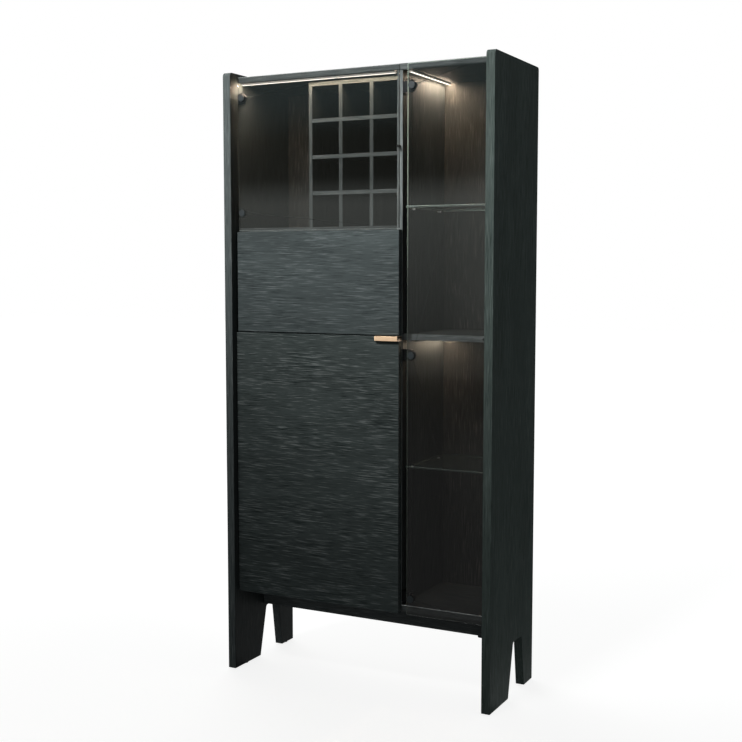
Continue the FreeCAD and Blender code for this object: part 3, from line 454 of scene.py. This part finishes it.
# Glass shelves: loose 6 mm clear panes with polished edges, each laid on four pegs. The edge
# tints are painted light, and the upper one's edge is painted brighter, a painted highlight.
SHELF_ARRIS = 0.0022
shelf_glass = glass("shelf_glass", (0.06, 0.08, 0.072), 0.16, 0.02)
for name, painted_edge_tint in (
    ("upper_glass_shelf", (0.42, 0.52, 0.47)),
    ("lower_glass_shelf", (0.13, 0.17, 0.15)),
):
    dress(name, shelf_glass, cut_edge(f"{name}_edge", painted_edge_tint))
    ease(name, SHELF_ARRIS, 1)


# Copper pull: a flat bar let into the corner of the cupboard door, satin brushed along
# its length, with its end painted dark, a painted shade.
def brushed_metal(name, colour, rough, grain, fineness, metallic=1.0):
    """Metal with fine brush lines along one axis; a lacquered one is less metallic."""
    metal, tree, shader = finish(name)
    shader.inputs["Metallic"].default_value = metallic
    scale = [fineness] * 3
    scale["xyz".index(grain)] = fineness / 40
    place = add(tree, "ShaderNodeTexCoord").outputs["Object"]
    stretched = add(tree, "ShaderNodeMapping", {"Vector": place, "Scale": scale})
    lines = noise(tree, stretched.outputs[0], 1.0, 3.0)
    tree.links.new(span(tree, lines, 0.0, 1.0, rough, rough * 1.6), shader.inputs["Roughness"])
    sheen = ramp(tree, lines, (0.3, [part * 0.82 for part in colour]), (0.7, colour))
    tree.links.new(sheen, shader.inputs["Base Color"])
    relief(tree, shader, lines, 0.15, 0.0002)
    return metal


copper = brushed_metal("satin_copper", (1.0, 0.7, 0.45), 0.28, "x", 2500.0, 0.2)
copper_tree = copper.node_tree
copper_base = copper_tree.nodes["Principled BSDF"].inputs["Base Color"]
# The end of the pull that faces +X is painted dark, a painted shade.
copper_painted_shade_end = facing(copper_tree, axes_of(copper_tree, "Normal")["X"], 1, 0.05)
copper_tree.links.new(toned(copper_tree, copper_base.links[0].from_socket, copper_painted_shade_end), copper_base)
dress("pull_handle", copper)


# Hinges: arms, pins, cups and leaves in black nickel, and the caps that clamp the panes in
# fine textured dark grey. Arms are fixed to the carcass, cups and leaves to the doors.
def textured_plastic(name, colour):
    """Plastic with a fine spark texture."""
    plastic, tree, shader = finish(name)
    shader.inputs["Roughness"].default_value = 0.5
    shader.inputs["Specular IOR Level"].default_value = 0.3
    spark = noise(tree, add(tree, "ShaderNodeTexCoord").outputs["Object"], 900.0, 2.0)
    dark = [part * 0.7 for part in colour]
    light = [part * 1.3 for part in colour]
    tree.links.new(ramp(tree, spark, (0.0, dark), (1.0, light)), shader.inputs["Base Color"])
    relief(tree, shader, spark, 0.2, 0.0003)
    return plastic


CAP_ARRIS = 0.0006
black_nickel = brushed_metal("black_nickel", (0.022, 0.023, 0.024), 0.36, "z", 1800.0)
cap_grey = textured_plastic("cap_grey", (0.023, 0.029, 0.031))
for doors, families in (
    (("upper_door", "display_door"), ("arms", "pins", "cups")),
    (("lower_door", "bar_flap"), ("arms", "pins", "leaves")),
):
    for door in doors:
        for family in families:
            dress(f"{door}_hinge_{family}", black_nickel)
for door in ("upper_door", "display_door"):
    dress(f"{door}_hinge_caps", cap_grey)
    ease(f"{door}_hinge_caps", CAP_ARRIS)

# Dowels: beech pins, glued into the ends of the carcass boards and hidden inside the
# joints.
beech, beech_tree, beech_shader = finish("beech")
beech_flecks = noise(beech_tree, add(beech_tree, "ShaderNodeTexCoord").outputs["Object"], 700.0, 3.0)
beech_tone = ramp(beech_tree, beech_flecks, (0.0, (0.4, 0.26, 0.14)), (1.0, (0.62, 0.45, 0.28)))
beech_tree.links.new(beech_tone, beech_shader.inputs["Base Color"])
beech_shader.inputs["Roughness"].default_value = 0.7
dress("carcass_dowels", beech)


# Screws of the back panel: zinc plated, pointed, with a domed head that has a cross
# recess. They go through the back panel into the boards.
def solids(name):
    """Lowest and highest corner of each separate solid of a piece."""
    shape = bmesh.new()
    shape.from_mesh(boards[name].data)
    bmesh.ops.remove_doubles(shape, verts=shape.verts[:], dist=0.000001)
    waiting = set(shape.verts)
    corners = []
    while waiting:
        found = [waiting.pop()]
        for vert in found:
            for edge in vert.link_edges:
                other = edge.other_vert(vert)
                if other in waiting:
                    waiting.remove(other)
                    found.append(other)
        low = Vector([min(vert.co[axis] for vert in found) for axis in range(3)])
        high = Vector([max(vert.co[axis] for vert in found) for axis in range(3)])
        corners.append((low, high))
    shape.free()
    return sorted(corners, key=lambda pair: tuple(pair[0]))


def skin(rings, verts, faces):
    """Add a closed form: faces from ring to ring, and one over each end."""
    first = len(verts)
    sides = len(rings[0])
    for ring in rings:
        verts.extend(ring)
    for level in range(len(rings) - 1):
        start = first + level * sides
        for i in range(sides):
            j = (i + 1) % sides
            faces.append((start + i, start + j, start + sides + j, start + sides + i))
    faces.append(tuple(range(first, first + sides)))
    faces.append(tuple(range(len(verts) - sides, len(verts))))


def piece(name, verts, faces, finishes, finish_of, body, node):
    """A detailed piece in place of a plain one; finish_of gives the finish of each face."""
    mesh = bpy.data.meshes.new(name)
    mesh.from_pydata(verts, [], faces)
    for one in finishes:
        mesh.materials.append(one)
    for number, polygon in enumerate(mesh.polygons):
        polygon.material_index = finish_of[number]
    shape = bmesh.new()
    shape.from_mesh(mesh)
    bmesh.ops.recalc_face_normals(shape, faces=shape.faces[:])
    shape.to_mesh(mesh)
    shape.free()
    made = bpy.data.objects.new(name, mesh)
    scene.collection.objects.link(made)
    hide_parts(node)
    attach(made, body)


SCREW_SIDES = 24
TIP_RADIUS = 0.0004
TIP_LENGTH = 0.003
SHANK_SHARE = 0.42
HEAD_RISE = 0.002
HEAD_DOME = 0.0007
HEAD_FLAT_SHARE = 0.75
RECESS_ARM = 0.0021
RECESS_HALF = 0.0005
RECESS_DEPTH = 0.0012
zinc = brushed_metal("zinc_plate", (0.6, 0.61, 0.62), 0.35, "x", 1500.0)
# The cross recess is painted much darker than the head, a painted shade in the hollow.
recess_painted_shade = brushed_metal("recess_zinc_painted_shade", (0.16, 0.16, 0.17), 0.5, "x", 1500.0)
arm_middle = (RECESS_ARM + RECESS_HALF) / 2
cross = []
for turn in range(4):
    for across, along in (
        (RECESS_ARM, -RECESS_HALF), (RECESS_ARM, 0.0), (RECESS_ARM, RECESS_HALF),
        (arm_middle, RECESS_HALF), (RECESS_HALF, RECESS_HALF), (RECESS_HALF, arm_middle),
    ):
        for _ in range(turn):
            across, along = -along, across
        cross.append((across, along))
circle = []
for i in range(SCREW_SIDES):
    angle = 2 * pi * (i - 1) / SCREW_SIDES
    circle.append((cos(angle), sin(angle)))
screw_verts = []
screw_faces = []
screw_finish = []
for low, high in solids("back_panel_screws"):
    middle = (low + high) / 2
    head = (high.x - low.x) / 2
    shank = head * SHANK_SHARE
    back = high.y - HEAD_RISE
    rings = []
    for outline, size, y in (
        (circle, TIP_RADIUS, low.y),
        (circle, shank, low.y + TIP_LENGTH),
        (circle, shank, back),
        (circle, head, back),
        (circle, head, high.y - HEAD_DOME),
        (circle, head * HEAD_FLAT_SHARE, high.y),
        (cross, 1.0, high.y),
        (cross, 1.0, high.y - RECESS_DEPTH),
    ):
        rings.append([(middle.x + size * across, y, middle.z + size * along) for across, along in outline])
    skin(rings, screw_verts, screw_faces)
    screw_finish += [0] * SCREW_SIDES * (len(rings) - 2) + [1] * SCREW_SIDES + [0, 1]
piece(
    "cross_screws", screw_verts, screw_faces, (zinc, recess_painted_shade), screw_finish,
    "carcass", "back_panel_screws",
)

# Shelf pegs: turned zinc plated pins with rounded ends, four pushed into holes in the
# walls under each loose shelf.
PEG_ARRIS = 0.0002
for name in ("glass_shelf_pegs", "cupboard_shelf_pegs"):
    dress(name, zinc)
    ease(name, PEG_ARRIS)

# Lights: warm strips under opal covers on black rails, below the top panel and the
# display shelf. A cover glows most along its middle, where the strip runs.
rail_black = brushed_metal("anodised_black", (0.05, 0.05, 0.05), 0.4, "x", 1500.0)
strip_board, strip_tree, strip_shader = finish("strip_board")
strip_place = add(strip_tree, "ShaderNodeTexCoord").outputs["Object"]
diodes = add(strip_tree, "ShaderNodeTexVoronoi", {"Vector": strip_place, "Scale": 120.0})
diode_tone = ramp(strip_tree, diodes.outputs["Distance"], (0.0, (1.0, 0.82, 0.45)), (0.4, (0.8, 0.78, 0.72)))
strip_tree.links.new(diode_tone, strip_shader.inputs["Base Color"])
dress("light_strips", strip_board)


def lit_opal(name, along, across, seen, shed):
    """Opal cover that glows along its middle.

    seen is how bright it looks; shed gives two places along it and the strength of its
    light at each, between which the light changes.
    """
    opal, tree, shader = finish(name)
    shader.inputs["Base Color"].default_value = (0.5, 0.47, 0.42, 1.0)
    spot = axes_of(tree, "Generated")
    sides = axes_of(tree, "Normal")

    def size_of(value, middle):
        offset = add(tree, "ShaderNodeMath", {0: value, 1: middle}, operation="SUBTRACT").outputs[0]
        return add(tree, "ShaderNodeMath", {0: offset}, operation="ABSOLUTE").outputs[0]

    middle = span(tree, size_of(spot[across], 0.5), 0.3, 0.48, seen, seen * 0.1)
    end = facing(tree, size_of(sides[along], 0.0), 1, 0.15)
    wall = facing(tree, size_of(sides[across], 0.0), 1, 0.15)
    band = times(tree, middle, end)
    light = span(tree, spot[along], *shed)
    ray = add(tree, "ShaderNodeLightPath").outputs["Is Camera Ray"]
    level = add(tree, "ShaderNodeMix", {0: ray, 2: light, 3: band}).outputs[0]
    tree.links.new(times(tree, level, wall), shader.inputs["Emission Strength"])
    warmth = ramp(tree, ray, (0.0, (1.0, 0.77, 0.57)), (1.0, (1.0, 0.93, 0.82)))
    tree.links.new(warmth, shader.inputs["Emission Color"])
    return opal


for place, along, across, seen, shed in (
    ("bottle_bay", "X", "Y", 3.0, (0.03, 0.22, 360.0, 47.0)),
    ("display_top", "Y", "X", 3.0, (0.2, 1.0, 12.0, 400.0)),
    ("display_shelf", "Y", "X", 0.25, (0.2, 1.0, 14.0, 125.0)),
):
    dress(f"{place}_light_rail", rail_black)
    dress(f"{place}_light_cover", lit_opal(f"{place}_opal", along, across, seen, shed))


# Plastic fittings: glides under the legs, screw caps let into the side panels, and push
# latches on the front edges of the divider and the display shelf. All are moulded in fine
# textured black plastic.
FITTING_ARRIS = 0.0005
black_plastic = textured_plastic("black_plastic", (0.02, 0.021, 0.021))
for name in ("leg_glides", "side_screw_caps", "push_latches"):
    dress(name, black_plastic)
    ease(name, FITTING_ARRIS)


# Light driver behind the apron: a moulded black case, and on its back the mains inlet, a
# hollow socket with two zinc pins in its floor.
def rectangle(sides, y):
    """Corners of an upright rectangle at one depth; sides are left, right, foot and head."""
    left, right, foot, head = sides
    return [(left, y, foot), (right, y, foot), (right, y, head), (left, y, head)]


DRIVER_ARRIS = 0.0003
INLET_WALL = 0.002
PIN_HALF = 0.0012
PIN_OFFSET_SHARE = 0.2
dress("light_driver", black_plastic)
ease("light_driver", DRIVER_ARRIS)
low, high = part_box("driver_inlet")
middle = (low + high) / 2
outside = (low.x, high.x, low.z, high.z)
inside = (low.x + INLET_WALL, high.x - INLET_WALL, low.z + INLET_WALL, high.z - INLET_WALL)
socket = [
    rectangle(outside, low.y),
    rectangle(outside, high.y),
    rectangle(inside, high.y),
    rectangle(inside, low.y + INLET_WALL),
]
inlet_verts = []
inlet_faces = []
skin(socket, inlet_verts, inlet_faces)
inlet_finish = [0] * len(inlet_faces)
pin_offset = (high.x - low.x) * PIN_OFFSET_SHARE
pin_run = (low.y + INLET_WALL / 2, high.y - INLET_WALL)
for pin_x in (middle.x - pin_offset, middle.x + pin_offset):
    pin = (pin_x - PIN_HALF, pin_x + PIN_HALF, middle.z - PIN_HALF, middle.z + PIN_HALF)
    skin([rectangle(pin, y) for y in pin_run], inlet_verts, inlet_faces)
inlet_finish += [1] * (len(inlet_faces) - len(inlet_finish))
piece(
    "inlet_socket", inlet_verts, inlet_faces, (black_plastic, zinc), inlet_finish,
    "carcass", "driver_inlet",
)

low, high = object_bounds()
